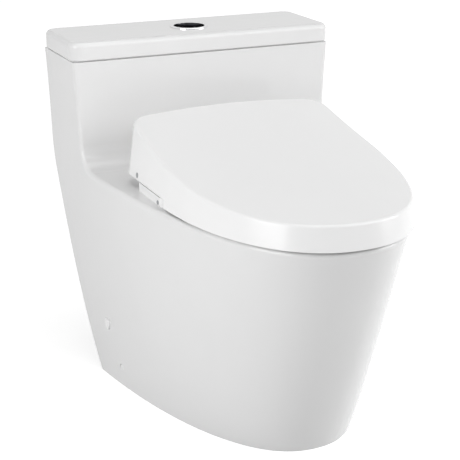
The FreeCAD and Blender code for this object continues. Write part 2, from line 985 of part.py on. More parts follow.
def inlet_nut():
    """The hexagon nut under the tank's floor."""
    low = cavity_roof - inlet_nut_thick
    points = []
    for corner in range(nut_sides + 1):
        turn = math.tau * corner / nut_sides
        across = fill_offset + inlet_nut_radius * math.cos(turn)
        points.append(place(across, fill_reach + inlet_nut_radius * math.sin(turn), low))
    nut = Part.Face(Part.makePolygon(points)).extrude(FreeCAD.Vector(0, 0, inlet_nut_thick))
    return nut.cut(upright(shank_radius + thread_fit, fill_offset, fill_reach, 0, overall_height))


def refill_tube():
    """The small hose from the fill valve's head to the flush valve's overflow."""
    start = fill_offset + fill_cap_radius + refill_gap
    path = rounded_path([
        place(start, fill_reach, nozzle_height),
        place(refill_offset, button_reach, nozzle_height),
        place(refill_offset, button_reach, tower_top - refill_end_drop),
    ], refill_bend)
    return pipe(path, refill_radius).cut(pipe(path, refill_bore + thread_fit))


def cover_outline(half, widest, tip, rear, corner, height):
    """The bidet lid's plan: superellipse front, straight sides, rounded rear corners."""
    points = []
    for step in range(outline_steps + 1):
        turn = math.pi * step / outline_steps
        side = math.copysign(abs(math.cos(turn)) ** (2 / cover_power), math.cos(turn))
        reach = widest + (tip - widest) * math.sin(turn) ** (2 / cover_power)
        points.append(place(half * side, reach, height))
    points[0] = place(half, widest, height)
    points[-1] = place(-half, widest, height)
    curve = Part.BSplineCurve()
    ahead = FreeCAD.Vector(0, -1, 0)
    curve.interpolate(Points=points, InitialTangent=ahead, FinalTangent=FreeCAD.Vector(0, 1, 0))
    edges = [curve.toShape()]
    bend = corner * (1 - math.sqrt(0.5))
    left_side = place(-half, rear + corner, height)
    left_rear = place(-half + corner, rear, height)
    right_rear = place(half - corner, rear, height)
    right_side = place(half, rear + corner, height)
    edges.append(Part.makeLine(points[-1], left_side))
    edges.append(Part.Arc(left_side, place(-half + bend, rear + bend, height), left_rear).toShape())
    edges.append(Part.makeLine(left_rear, right_rear))
    edges.append(Part.Arc(right_rear, place(half - bend, rear + bend, height), right_side).toShape())
    edges.append(Part.makeLine(right_side, points[0]))
    return Part.Wire(edges)


def cover_form(inset):
    """The bidet lid as a solid, or its hollow when inset by the wall."""
    low = cover_outline(cover_half - inset, cover_widest, cover_tip - inset, cover_rear + inset,
                        cover_corner - inset, cover_low)
    half = cover_half - cover_side_draft - inset
    high = cover_outline(half, cover_widest, cover_tip - cover_front_draft - inset, cover_rear + inset,
                         cover_corner - inset, cover_low + cover_guide_height)
    form = Part.makeLoft([low, high], True, True)
    form = form.common(crown_form(inset))
    return round_edges(form, cover_round - inset, on_cover_top)


def crown_form(inset):
    """A thick curved slab with the lid's top as its upper side: swept hollow lengthwise, crowned across."""
    rear = place(0, cover_rear, cover_rear_top)
    chord = place(0, cover_tip, cover_front_top) - rear
    upward = chord.cross(FreeCAD.Vector(1, 0, 0)).normalize()
    hub = rear + chord * 0.5 + upward * math.sqrt(cover_sweep ** 2 - chord.Length ** 2 / 4)
    down = (rear - hub).normalize()
    half = FreeCAD.Vector(overall_width / 2, 0, 0)
    bow = cover_crown - inset
    crest = rear + down * inset
    edge = crest + down * (bow - math.sqrt(bow ** 2 - half.Length ** 2))
    deep = edge + down * overall_height
    sides = [edge + half, deep + half, deep - half, edge - half]
    lines = [Part.makeLine(start, end) for start, end in zip(sides, sides[1:])]
    profile = Part.Face(Part.Wire([Part.Arc(edge - half, crest, edge + half).toShape()] + lines))
    swing = math.degrees(2 * math.asin(chord.Length / 2 / cover_sweep))
    profile.rotate(hub, FreeCAD.Vector(1, 0, 0), swing)
    return profile.revolve(hub, FreeCAD.Vector(-1, 0, 0), 3 * swing)


def on_cover_top(edge):
    """True for the edges round the lid's upper face."""
    point = middle(edge)
    lowest = edge.BoundBox.ZMin
    return lowest > cover_side_low and not stands(edge) and point.z > cover_low + cover_round


def bidet_lid():
    """The full-length cover: a thin shell, open below and behind, with inner posts."""
    outer = cover_form(0)
    lid = outer.cut(cover_form(cover_wall))
    wide = overall_width
    lid = lid.cut(box(-wide, wide, 0, cover_step, 0, cover_side_low))
    opening = unit_half + cover_rear_gap
    lid = lid.cut(box(-opening, opening, 0, hinge_reach, 0, cover_lip_low))
    heel = box(-wide, wide, 0, hinge_reach, 0, hinge_height)
    lid = lid.cut(heel.cut(crosswise(cover_heel, -wide, wide, hinge_reach, hinge_height)))
    boss = crosswise(lid_foot, lid_arm_outer, wide, lid_screw_reach, lid_screw_height)
    for post in bumper_posts() + [boss, mirrored(boss)]:
        lid = lid.fuse(post.common(outer))
    seat_of_plug = lid_arm_outer + lid_ledge
    for radius, start in ((lid_screw_radius + thread_fit, 0), (lid_plug_radius + lid_plug_fit, seat_of_plug)):
        hole = crosswise(radius, start, wide, lid_screw_reach, lid_screw_height)
        lid = lid.cut(hole).cut(mirrored(hole))
    return lid.removeSplitter()


def bumper_posts():
    """Posts inside the lid that carry its rubber bumpers."""
    low = seat_low + seat_thick + bumper_gap + lid_bumper_thick
    post = upright(bumper_radius, lid_bumper_across, lid_bumper_reach, low, cover_rear_top)
    return [post, mirrored(post)]


def lid_bumpers():
    """Rubber bumpers on the lid's posts."""
    low = seat_low + seat_thick + bumper_gap
    bumper = upright(bumper_radius, lid_bumper_across, lid_bumper_reach, low, low + lid_bumper_thick)
    return pair(round_edges(bumper, bumper_round, lies_at(low)))


def lid_arms():
    """The arms inside the lid that turn on the hinge pins."""
    left = lid_arm_outer - lid_arm_thick
    boss = crosswise(hinge_boss, left, lid_arm_outer, hinge_reach, hinge_height)
    foot = crosswise(lid_foot, left, lid_arm_outer, lid_screw_reach, lid_screw_height)
    lean = math.atan2(hinge_height - lid_screw_height, lid_screw_reach - hinge_reach)
    rise = math.cos(lean)
    run = math.sin(lean)
    web = side_plate([
        (hinge_reach + hinge_boss * run, hinge_height + hinge_boss * rise),
        (lid_screw_reach + lid_foot * run, lid_screw_height + lid_foot * rise),
        (lid_screw_reach - lid_foot * run, lid_screw_height - lid_foot * rise),
        (hinge_reach - hinge_boss * run, hinge_height - hinge_boss * rise),
    ], left, lid_arm_outer)
    arm = boss.fuse([foot, web]).removeSplitter()
    wide = overall_width
    arm = arm.cut(crosswise(pin_radius + hinge_fit, 0, wide, hinge_reach, hinge_height))
    return pair(arm.cut(crosswise(lid_screw_radius + thread_fit, 0, wide, lid_screw_reach, lid_screw_height)))


def lid_screws():
    """The screws that hold the lid to its arms."""
    head_low = lid_arm_outer + lid_ledge
    head_high = head_low + lid_screw_head_thick
    low = lid_arm_outer - lid_arm_thick
    screw = crosswise(lid_screw_radius, low, head_high, lid_screw_reach, lid_screw_height)
    head = crosswise(lid_screw_head, head_low, head_high, lid_screw_reach, lid_screw_height)
    return pair(screw.fuse(head).removeSplitter())


def lid_plugs():
    """Grey plugs over the lid's side screws."""
    low = lid_arm_outer + lid_ledge + lid_screw_head_thick
    share = (lid_screw_height - cover_low) / cover_guide_height
    outside = cover_half - cover_side_draft * share + lid_plug_stand
    return pair(crosswise(lid_plug_radius, low, outside, lid_screw_reach, lid_screw_height))


def hinge_pins():
    """The pins that carry the seat and the lid."""
    inner = unit_half - unit_wall - pin_depth
    return pair(crosswise(pin_radius, inner, lid_arm_outer, hinge_reach, hinge_height))


def hinge_dampers():
    """Soft-close dampers on the hinge pins."""
    right = unit_half - unit_wall
    damper = crosswise(damper_radius, right - damper_length, right, hinge_reach, hinge_height)
    near = hinge_reach - damper_foot / 2
    foot = box(right - damper_length, right, near, near + damper_foot, base_floor, hinge_height)
    damper = damper.fuse(foot).removeSplitter()
    return pair(damper.cut(crosswise(pin_radius + hinge_fit, right - pin_depth, unit_half, hinge_reach,
                                     hinge_height)))


def seat_ring():
    """The seat: a rounded ring with two arms to the hinge and a relief for the wand."""
    outline = cover_outline(seat_half, cover_widest, seat_tip, cover_rear, cover_corner, seat_low)
    ring = Part.Face(outline).extrude(FreeCAD.Vector(0, 0, seat_thick))
    ring = ring.cut(box(-overall_width, overall_width, 0, seat_rear, 0, overall_height))
    low = seat_low - overrun
    hole = Part.Ellipse(place(0, seat_hole_centre, low), seat_hole_length, seat_hole_width).toShape()
    hole.rotate(place(0, seat_hole_centre, seat_low), FreeCAD.Vector(0, 0, 1), 90)
    hole = Part.Face(Part.Wire([hole])).extrude(FreeCAD.Vector(0, 0, seat_thick + 2 * overrun))
    ring = ring.cut(hole)
    ring = round_edges(ring, seat_round, lies_at(seat_low + seat_thick))
    high = seat_low + wand_relief_height
    ring = ring.cut(box(-wand_relief_width, wand_relief_width, 0, seat_hole_centre, 0, high))
    for arm in (seat_arm(), mirrored(seat_arm())):
        ring = ring.fuse(arm)
    return ring.removeSplitter()


def seat_arm():
    """One arm from the ring's rear corner to the hinge pin."""
    right = seat_arm_inner + seat_arm_thick
    arm = crosswise(hinge_boss, seat_arm_inner, right, hinge_reach, hinge_height)
    arm = arm.fuse(side_plate([
        (hinge_reach, hinge_height + hinge_boss),
        (seat_arm_front, seat_arm_high),
        (seat_arm_front, seat_arm_low),
        (hinge_reach, hinge_height - hinge_boss),
    ], seat_arm_inner, right))
    return arm.cut(crosswise(pin_radius + hinge_fit, 0, overall_width, hinge_reach, hinge_height))


def seat_bumpers():
    """Rubber bumpers under the seat."""
    low = deck_height + bumper_gap
    pads = []
    for across, reach in (
        (seat_bumper_across_rear, seat_bumper_reach_rear),
        (seat_bumper_across_front, seat_bumper_reach_front),
    ):
        pad = upright(bumper_radius, across, reach, low, seat_low)
        pad = round_edges(pad, bumper_round, lies_at(low))
        pads += [pad, mirrored(pad)]
    return Part.makeCompound(pads)


def wand_axis(travel):
    """A point on the wand's line, a distance along it from the base's front."""
    reach = unit_front + travel * math.cos(wand_slope)
    return place(0, reach, wand_exit_height - travel * math.sin(wand_slope))


def wand_bar(radius, first, last):
    """A round bar along the wand's line."""
    along = FreeCAD.Vector(0, -math.cos(wand_slope), -math.sin(wand_slope))
    return Part.makeCylinder(radius, last - first, wand_axis(first), along)


def bidet_base():
    """The lower casing: a tray on the deck with the wand's mouth and the plate's pocket."""
    base = rounded_block(-base_half, base_half, base_side_rear, unit_front, deck_height, base_top,
                         unit_corner)
    rear = rounded_block(-unit_half, unit_half, unit_rear, unit_front, deck_height, base_top, unit_corner)
    base = base.fuse(rear).removeSplitter()
    inner = unit_half - unit_wall
    base = base.cut(rounded_block(-inner, inner, unit_rear + unit_wall, unit_front - unit_wall,
                                  base_floor, overall_height, unit_corner - unit_wall))
    gap = plate_gap
    base = base.cut(box(-plate_half - gap, plate_half + gap, plate_near - gap, plate_far + gap,
                        deck_height - overrun, deck_height + plate_thick + gap))
    base = base.cut(wand_bar(wand_opening, -wand_length, wand_length))
    bore = crosswise(release_radius + release_fit, -base_half - overrun, -base_half + release_bore,
                     release_reach, release_height)
    return base.cut(bore)


def unit_slope(reach):
    """Height of the unit cover's top at a reach."""
    return blend(unit_top_rear, unit_top_front, (reach - unit_rear) / (unit_front - unit_rear))


def unit_block(inset, low):
    """The upper casing's form, or its hollow when inset."""
    near = unit_rear + inset
    far = unit_front - inset
    half = unit_half - inset
    block = side_plate([
        (near, low),
        (far, low),
        (far, unit_slope(unit_front) - inset),
        (near, unit_slope(unit_rear) - inset),
    ], -half, half)
    block = round_edges(block, unit_corner - inset, stands)
    return round_edges(block, unit_round - inset, above_base)


def above_base(edge):
    """True for the edges round the upper casing's top."""
    return edge.BoundBox.ZMin > (base_top + unit_slope(unit_front)) / 2 and not stands(edge)


def unit_cover():
    """The upper casing over the seat's works."""
    cover = unit_block(0, base_top).cut(unit_block(unit_wall, base_top - overrun))
    wide = overall_width
    cover = cover.cut(crosswise(pin_radius + hinge_fit, -wide, wide, hinge_reach, hinge_height))
    cover = cover.cut(wand_bar(wand_opening, -wand_opening, wand_length))
    for across, radius in ((-connector_across, connector_neck), (connector_across, gland_radius)):
        cover = cover.cut(lengthwise(radius + thread_fit, across, connector_height, 0,
                                     unit_rear + unit_wall + overrun))
    return cover


def mounting_plate():
    """The plate on the deck that the seat unit slides onto."""
    high = deck_height + plate_thick
    plate = rounded_block(-plate_half, plate_half, plate_near, plate_far, deck_height, high, plate_corner)
    for side in (-1, 1):
        across = side * bolt_across
        plate = plate.cut(upright(bolt_radius + thread_fit, across, bolt_reach, 0, overall_height))
        plate = plate.cut(upright(bolt_head + bolt_head_gap, across, bolt_reach, high - bolt_head_thick,
                                  overall_height))
    return plate


def mounting_bolts():
    """Bolts through the plate and the deck."""
    high = deck_height + plate_thick
    bolt = upright(bolt_radius, bolt_across, bolt_reach, high - bolt_drop, high)
    head = upright(bolt_head, bolt_across, bolt_reach, high - bolt_head_thick, high)
    return pair(bolt.fuse(head).removeSplitter())


def mounting_washers():
    """Rubber washers under the deck."""
    low = cavity_roof - mount_washer_thick
    return pair(ring_piece(mount_washer, bolt_radius + thread_fit, bolt_across, bolt_reach, low, cavity_roof))


def mounting_nuts():
    """Nuts on the seat unit's bolts."""
    high = cavity_roof - mount_washer_thick
    low = high - mount_nut_thick
    return pair(ring_piece(mount_nut, bolt_radius + thread_fit, bolt_across, bolt_reach, low, high))


def wand_guide():
    """The sloping sleeve that the wand runs in, on a web from the tray's floor."""
    far = -wand_guide_near
    near = far - wand_guide_length
    outer = wand_radius + wand_fit + wand_guide_wall
    sleeve = wand_bar(outer, near, far)
    top = wand_axis((near + far) / 2)
    reach = wall_plane - top.y
    deep = wand_web_depth / 2
    web = box(-wand_web / 2, wand_web / 2, reach - deep, reach + deep, base_floor, top.z)
    return sleeve.fuse(web).cut(wand_bar(wand_radius + wand_fit, -2 * wand_length, wand_length))


def spray_wand():
    """The sliding wand."""
    last = wand_rest - wand_tip_length
    return wand_bar(wand_radius, last - wand_length, last)


def spray_tip():
    """The wand's nozzle with its spray holes."""
    tip = wand_bar(wand_radius, wand_rest - wand_tip_length, wand_rest)
    tip = round_edges(tip, tip_round, on_tip_end)
    start = wand_axis(wand_rest - wand_tip_length / 2)
    for side in (-1, 1):
        tip = tip.cut(upright(spray_hole, side * spray_hole_offset, wall_plane - start.y, start.z,
                              start.z + 2 * wand_radius))
    return tip


def on_tip_end(edge):
    """True for the round edge at the wand's front end."""
    return (middle(edge) - wand_axis(wand_rest)).Length < wand_radius + close_enough


def wand_motor():
    """The small motor beside the guide that drives the wand."""
    height = base_floor + motor_radius
    motor = crosswise(motor_radius, motor_across, motor_across + motor_length, motor_reach, height)
    left = motor_across - motor_shaft_length
    return motor.fuse(crosswise(motor_shaft, left, motor_across, motor_reach, height))


def water_heater():
    """The flow heater that warms the spray water."""
    half = heater_width / 2
    far = heater_near + heater_depth
    block = rounded_block(heater_across - half, heater_across + half, heater_near, far, base_floor,
                          base_floor + heater_height, heater_round)
    height = base_floor + heater_height
    for side in (-1, 1):
        block = block.fuse(upright(heater_pipe, heater_across + side * heater_pipe_across,
                                   heater_near + heater_pipe_inset, height, height + heater_pipe_length))
    return block


def solenoid_valve():
    """The water valve with its coil."""
    half = valve_block / 2
    block = rounded_block(valve_across - half, valve_across + half, valve_reach - half, valve_reach + half,
                          base_floor, base_floor + valve_block_height, valve_block_round)
    high = base_floor + valve_block_height
    return block.fuse(upright(coil_radius, valve_across, valve_reach, high, high + coil_height))


def bidet_inlet():
    """The water connector in the unit's rear wall."""
    body = lengthwise(connector_radius, -connector_across, connector_height, unit_rear - connector_reach,
                      unit_rear)
    body = body.fuse(lengthwise(connector_neck, -connector_across, connector_height, unit_rear,
                                unit_rear + connector_inside))
    collar = lengthwise(connector_collar, -connector_across, connector_height, unit_rear + unit_wall,
                        unit_rear + unit_wall + connector_collar_thick)
    body = body.fuse(collar).removeSplitter()
    return body.cut(lengthwise(connector_bore, -connector_across, connector_height, 0, unit_rear))


def cord_gland():
    """The bush where a mains lead would enter."""
    bush = lengthwise(gland_radius, connector_across, connector_height, unit_rear - gland_reach,
                      unit_rear + connector_inside)
    return bush.cut(lengthwise(gland_bore, connector_across, connector_height, 0, overall_depth))


def fan_housing():
    """The deodorising fan's drum with its mouth and outlet."""
    drum = upright(fan_radius, fan_across, fan_reach, base_floor, base_floor + fan_height)
    outlet = box(fan_across, fan_across + fan_radius, fan_reach, fan_reach + fan_radius + fan_shell,
                 base_floor, base_floor + fan_height)
    drum = drum.fuse(outlet).removeSplitter()
    inner = fan_radius - fan_shell
    low = base_floor + fan_shell
    high = base_floor + fan_height - fan_shell
    hollow = upright(inner, fan_across, fan_reach, low, high)
    hollow = hollow.fuse(box(fan_across + fan_shell, fan_across + inner, fan_reach,
                             fan_reach + fan_radius + overrun, low, high))
    drum = drum.cut(hollow).cut(upright(fan_mouth, fan_across, fan_reach, low, base_floor + 2 * fan_height))
    return drum.fuse(upright(fan_shaft, fan_across, fan_reach, base_floor, high))


def fan_wheel():
    """The bladed wheel on the fan's shaft."""
    low = base_floor + fan_wheel_floor
    high = low + fan_wheel_height
    wheel = upright(fan_wheel_radius, fan_across, fan_reach, low, low + fan_shell)
    wheel = wheel.fuse(upright(fan_hub, fan_across, fan_reach, low, high))
    tip = fan_across + fan_wheel_radius - fan_blade_inset
    for blade in range(fan_blades):
        strip = box(tip - fan_blade_length, tip, fan_reach - fan_blade_thick / 2,
                    fan_reach + fan_blade_thick / 2, low, high)
        strip.rotate(place(fan_across, fan_reach, 0), FreeCAD.Vector(0, 0, 1), 360 * blade / fan_blades)
        wheel = wheel.fuse(strip)
    wheel = wheel.removeSplitter()
    return wheel.cut(upright(fan_shaft + hinge_fit, fan_across, fan_reach, 0, overall_height))


def odour_filter():
    """The slotted filter cartridge at the fan's outlet."""
    left = fan_across - filter_width / 2
    cartridge = box(left, left + filter_width, filter_reach, filter_reach + filter_depth, base_floor,
                    base_floor + filter_height)
    for slot in range(filter_slots):
        start = left + filter_width * (slot + 1) / (filter_slots + 1) - filter_slot_width / 2
        cartridge = cartridge.cut(box(start, start + filter_slot_width, filter_reach - overrun,
                                      filter_reach + filter_depth + overrun, base_floor + filter_slot_width,
                                      base_floor + filter_height - filter_slot_width))
    return cartridge


def control_board():
    """The circuit board standing along the rear wall, with its larger components."""
    face = board_reach + board_thick
    board = box(board_near, board_far, board_reach, face, base_floor, base_floor + board_height)
    for chip in range(chip_count):
        left = blend(board_near, board_far, (chip + 1) / (chip_count + 1)) - chip_size / 2
        low = base_floor + board_height / 2 - chip_size / 2
        board = board.fuse(box(left, left + chip_size, face, face + chip_depth, low, low + chip_size))
    return board


def release_button():
    """The small button on the base's side that frees the unit from its plate."""
    left = -base_half - release_stand
    button = crosswise(release_radius, left, left + release_length, release_reach, release_height)
    return round_edges(button, release_round, lambda edge: edge.BoundBox.XMax < left + close_enough)


def release_spring():
    """The coil behind the release button."""
    start = -base_half - release_stand + release_length
    length = release_bore - release_length + release_stand
    return helix_spring(release_wire, release_spring_radius, release_spring_turns,
                        place(start, release_reach, release_height), FreeCAD.Vector(1, 0, 0), length)


def side_caps():
    """Round covers over the skirt's side fixings."""
    right = skirt_face(fixing_reach, fixing_height) - cap_recess + cap_thick + side_screw_head_thick
    left = right - cap_thick
    cap = crosswise(cap_radius, left - side_screw_head_thick, right, fixing_reach, fixing_height)
    cap = round_edges(cap, cap_round, lambda edge: edge.BoundBox.XMin > right - close_enough)
    return pair(cap.cut(crosswise(side_screw_head + cap_fit, 0, left, fixing_reach, fixing_height)))


def foot_caps():
    """Small plugs low on the skirt."""
    left = skirt_face(foot_cap_reach, foot_cap_height) - foot_cap_recess
    right = left + foot_cap_thick
    cap = crosswise(foot_cap_radius, left, right, foot_cap_reach, foot_cap_height)
    return pair(round_edges(cap, foot_cap_round, lambda edge: edge.BoundBox.XMin > right - close_enough))


def bracket_face():
    """How far the brackets' outer faces stand from the middle."""
    return skirt_face(fixing_reach, 0) - bracket_inset


def side_screws():
    """Screws through the skirt into the floor brackets."""
    right = skirt_face(fixing_reach, fixing_height) - cap_recess
    left = bracket_face() - side_screw_past
    screw = crosswise(side_screw_radius, left, right, fixing_reach, fixing_height)
    head = crosswise(side_screw_head, right, right + side_screw_head_thick, fixing_reach, fixing_height)
    return pair(screw.fuse(head).removeSplitter())


def floor_brackets():
    """Angle brackets on the floor inside the skirt."""
    right = bracket_face()
    near = fixing_reach - bracket_width / 2
    far = fixing_reach + bracket_width / 2
    bracket = box(right - bracket_thick, right, near, far, 0, fixing_height + bracket_over)
    bracket = bracket.fuse(box(right - bracket_foot, right, near, far, 0, bracket_thick)).removeSplitter()
    wide = overall_width
    bracket = bracket.cut(crosswise(side_screw_radius + thread_fit, 0, wide, fixing_reach, fixing_height))
    return pair(bracket.cut(upright(bracket_hole, right - bracket_foot / 2, fixing_reach, -overrun, overrun)))


def outlet_seal():
    """The rubber sleeve round the waste outlet at the floor."""
    inner = trap_radius + trap_wall + seal_ring_gap
    return ring_piece(inner + seal_ring_wall, inner, 0, outlet_reach, 0, seal_ring_height)


nodes = {
    "toilet_body": toilet_body,
    "tank_lid": tank_lid,
    "button_bezel": button_bezel,
    "button_nut": button_nut,
    "full_flush_button": lambda: flush_button(-1),
    "half_flush_button": lambda: flush_button(1),
    "full_push_rod": lambda: push_rod(-1),
    "half_push_rod": lambda: push_rod(1),
    "full_button_spring": lambda: button_spring(-1),
    "half_button_spring": lambda: button_spring(1),
    "valve_seat": valve_seat,
    "seat_gasket": seat_gasket,
    "valve_tower": valve_tower,
    "valve_stem": valve_stem,
    "valve_seal": valve_seal,
    "full_push_pad": lambda: push_pad(-1),
    "half_push_pad": lambda: push_pad(1),
    "fill_valve_body": fill_valve_body,
    "fill_valve_cap": fill_valve_cap,
    "fill_float": fill_float,
    "inlet_washer": inlet_washer,
    "inlet_nut": inlet_nut,
    "refill_tube": refill_tube,
    "bidet_lid": bidet_lid,
    "lid_arms": lid_arms,
    "lid_screws": lid_screws,
    "lid_plugs": lid_plugs,
    "lid_bumpers": lid_bumpers,
    "hinge_pins": hinge_pins,
    "hinge_dampers": hinge_dampers,
    "seat_ring": seat_ring,
    "seat_bumpers": seat_bumpers,
    "bidet_base": bidet_base,
    "unit_cover": unit_cover,
    "mounting_plate": mounting_plate,
    "mounting_bolts": mounting_bolts,
    "mounting_washers": mounting_washers,
    "mounting_nuts": mounting_nuts,
    "wand_guide": wand_guide,
    "spray_wand": spray_wand,
    "spray_tip": spray_tip,
    "wand_motor": wand_motor,
    "water_heater": water_heater,
    "solenoid_valve": solenoid_valve,
    "bidet_inlet": bidet_inlet,
    "cord_gland": cord_gland,
    "fan_housing": fan_housing,
    "fan_wheel": fan_wheel,
    "odour_filter": odour_filter,
    "control_board": control_board,
    "release_button": release_button,
    "release_spring": release_spring,
    "side_caps": side_caps,
    "foot_caps": foot_caps,
    "side_screws": side_screws,
    "floor_brackets": floor_brackets,
    "outlet_seal": outlet_seal,
}

os.makedirs("parts", exist_ok=True)
for name, make in nodes.items():
    shape = make()
    print(name, "valid", shape.isValid(), "solids", len(shape.Solids))
    shape.exportStep("parts/" + name + ".step")
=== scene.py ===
import bpy
import json
import math
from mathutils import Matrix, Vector

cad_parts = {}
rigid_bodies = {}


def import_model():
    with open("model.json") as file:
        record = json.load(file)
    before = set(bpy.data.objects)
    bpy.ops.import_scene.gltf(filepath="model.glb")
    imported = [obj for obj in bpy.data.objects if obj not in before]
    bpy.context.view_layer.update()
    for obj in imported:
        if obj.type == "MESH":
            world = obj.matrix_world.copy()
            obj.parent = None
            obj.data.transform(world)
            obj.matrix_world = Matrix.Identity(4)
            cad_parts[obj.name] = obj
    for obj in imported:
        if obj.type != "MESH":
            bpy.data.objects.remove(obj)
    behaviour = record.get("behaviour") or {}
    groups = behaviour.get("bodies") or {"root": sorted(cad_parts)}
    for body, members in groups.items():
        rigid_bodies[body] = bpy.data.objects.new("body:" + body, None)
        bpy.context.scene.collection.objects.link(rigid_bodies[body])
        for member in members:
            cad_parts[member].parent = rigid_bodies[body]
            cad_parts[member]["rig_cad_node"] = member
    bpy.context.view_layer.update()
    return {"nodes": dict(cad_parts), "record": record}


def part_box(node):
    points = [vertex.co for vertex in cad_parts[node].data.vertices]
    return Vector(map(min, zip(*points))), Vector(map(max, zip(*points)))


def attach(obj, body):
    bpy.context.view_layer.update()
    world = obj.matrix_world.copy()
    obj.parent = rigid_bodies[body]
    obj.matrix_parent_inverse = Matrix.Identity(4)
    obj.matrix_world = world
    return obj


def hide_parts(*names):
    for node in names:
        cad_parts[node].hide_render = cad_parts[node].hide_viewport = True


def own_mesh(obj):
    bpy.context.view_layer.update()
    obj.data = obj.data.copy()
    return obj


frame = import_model()
nodes = frame["nodes"]
slot_of = {row["node"]: row["material_slot"] for row in frame["record"]["subparts"]}
joint_of = {row["name"]: row for row in frame["record"]["behaviour"]["joints"]}

# Springs: the distance within which points of a coil copy are merged, in metres, and the angle of its creases
weld_reach = 0.000001
crease_angle = math.radians(40.0)

# Studio: lengths in metres, powers in watts
floor_width = 24.0
floor_dark, floor_pale = 0.60, 0.62
floor_rough = 0.9
glow_start, glow_end = 0.6, 3.0
near_glow, far_glow = 0.66, 0.82
air_light = 0.25
lamp_aim = Vector((0, 0, 0.3))
lamps = (  # name, place, side of the square, power
    ("left_lamp", (-1.596, -0.645, 0.826), 1.0, 16.3),
    ("front_lamp", (1.45, -2.32, 2.145), 1.8, 24.0),
    ("right_lamp", (2.801, -1.489, 1.21), 1.8, 47.0),
    ("top_lamp", (0.0, -0.115, 3.598), 1.8, 24.0),
)

# Camera: lengths in metres, lens and film in millimetres
camera_place = (-0.8626, -1.8216, 0.9912)
camera_azimuth, camera_elevation = math.radians(-24.20), math.radians(18.994)
camera_lens, camera_film = 98.86, 36.0
camera_near, camera_far = 0.05, 60.0


class Wire:
    """An output socket that takes part in plain arithmetic."""

    def __init__(self, finish, socket):
        self.finish = finish
        self.socket = socket

    def maths(self, operation, first, second):
        return self.finish.node("ShaderNodeMath", {"operation": operation}, {0: first, 1: second})

    def __add__(self, other):
        return self.maths("ADD", self, other)

    def __radd__(self, other):
        return self.maths("ADD", other, self)

    def __mul__(self, other):
        return self.maths("MULTIPLY", self, other)

    def __rmul__(self, other):
        return self.maths("MULTIPLY", other, self)


class Finish:
    """One material while it is being mixed."""

    def __init__(self, name, owner=None):
        self.owner = owner or bpy.data.materials.new(name)
        self.owner.use_nodes = True
        self.tree = self.owner.node_tree
        self.shader = self.tree.nodes.get("Principled BSDF")

    def join(self, socket, value):
        """Sets a socket to a number or colour, or links a wire to it."""
        if isinstance(value, Wire):
            self.tree.links.new(value.socket, socket)
        elif hasattr(value, "__len__") and len(value) == 3 and socket.type == "RGBA":
            socket.default_value = (*value, 1.0)
        else:
            socket.default_value = value

    def node(self, kind, settings=None, sockets=None, output=0):
        """Adds a node with its settings, then the values or links of its sockets."""
        made = self.tree.nodes.new(kind)
        for name, value in (settings or {}).items():
            setattr(made, name, value)
        for name, value in (sockets or {}).items():
            self.join(made.inputs[name], value)
        return Wire(self, made.outputs[output])

    def place(self):
        """Where a point lies on the piece, in metres."""
        return self.node("ShaderNodeTexCoord", output="Object")

    def noise(self, scale, detail, stretch=None):
        """Cloudy variation about one half, with so many clouds to the metre."""
        where = self.place()
        if stretch:
            where = self.node("ShaderNodeMapping", None, {"Vector": where, "Scale": stretch})
        return self.node("ShaderNodeTexNoise", None, {"Vector": where, "Scale": scale, "Detail": detail}, "Fac")

    def mix(self, share, first, second):
        """A colour between two others."""
        return self.node("ShaderNodeMix", {"data_type": "RGBA"}, {0: share, 6: first, 7: second}, 2)

    def bump(self, height, strength, distance):
        """Small relief from a height."""
        return self.node("ShaderNodeBump", None, {"Strength": strength, "Distance": distance, "Height": height})

    def surface(self, **sockets):
        """Joins values to the shader's own sockets."""
        for name, value in sockets.items():
            self.join(self.shader.inputs[name.replace("_", " ")], value)
        return self.owner


def grey(level):
    """A colour with no tint."""
    return (level, level, level)


def glaze():
    """Fired white glaze: even colour, a faint pooled tone and a slight orange peel."""
    mixing = Finish("white_glaze")
    pooled = mixing.noise(scale=6.0, detail=3.0)
    fine = mixing.noise(scale=260.0, detail=1.0)
    slow = mixing.noise(scale=34.0, detail=2.0)
    return mixing.surface(
        Base_Color=mixing.mix(pooled, grey(0.785), grey(0.815)),
        Roughness=0.06 + 0.05 * slow,
        Specular_IOR_Level=0.35,
        Normal=mixing.bump(slow + 0.12 * fine, strength=0.05, distance=0.002),
    )


def moulded_gloss():
    """Polished white moulding of the lid, the seat and the casings."""
    mixing = Finish("white_moulding")
    cloud = mixing.noise(scale=9.0, detail=2.0)
    grain = mixing.noise(scale=900.0, detail=2.0)
    flow = mixing.noise(scale=22.0, detail=2.0, stretch=(1.0, 0.25, 1.0))
    return mixing.surface(
        Base_Color=mixing.mix(cloud, grey(0.87), grey(0.89)),
        Roughness=0.15 + 0.10 * flow + 0.03 * grain,
        Normal=mixing.bump(grain * 0.3 + flow, strength=0.03, distance=0.001),
    )


def moulded(name, dark, pale, rough):
    """Plain moulded plastic with a fine spark grain."""
    mixing = Finish(name)
    cloud = mixing.noise(scale=18.0, detail=3.0)
    grain = mixing.noise(scale=1400.0, detail=3.0)
    return mixing.surface(
        Base_Color=mixing.mix(cloud * 0.7 + grain * 0.3, dark, pale),
        Roughness=rough + 0.14 * grain,
        Normal=mixing.bump(grain, strength=0.12, distance=0.0004),
    )


def polished(name, dark, pale, rough, edge):
    """Plated metal with faint wiping marks, and a tone of its own where it is seen edge on."""
    mixing = Finish(name)
    haze = mixing.noise(scale=60.0, detail=3.0)
    wiped = mixing.noise(scale=700.0, detail=2.0, stretch=(1.0, 0.08, 1.0))
    return mixing.surface(
        Base_Color=mixing.mix(haze, dark, pale),
        Metallic=1.0,
        Specular_Tint=grey(edge),
        Roughness=rough + 0.06 * haze + 0.05 * wiped,
        Normal=mixing.bump(wiped, strength=0.02, distance=0.0003),
    )


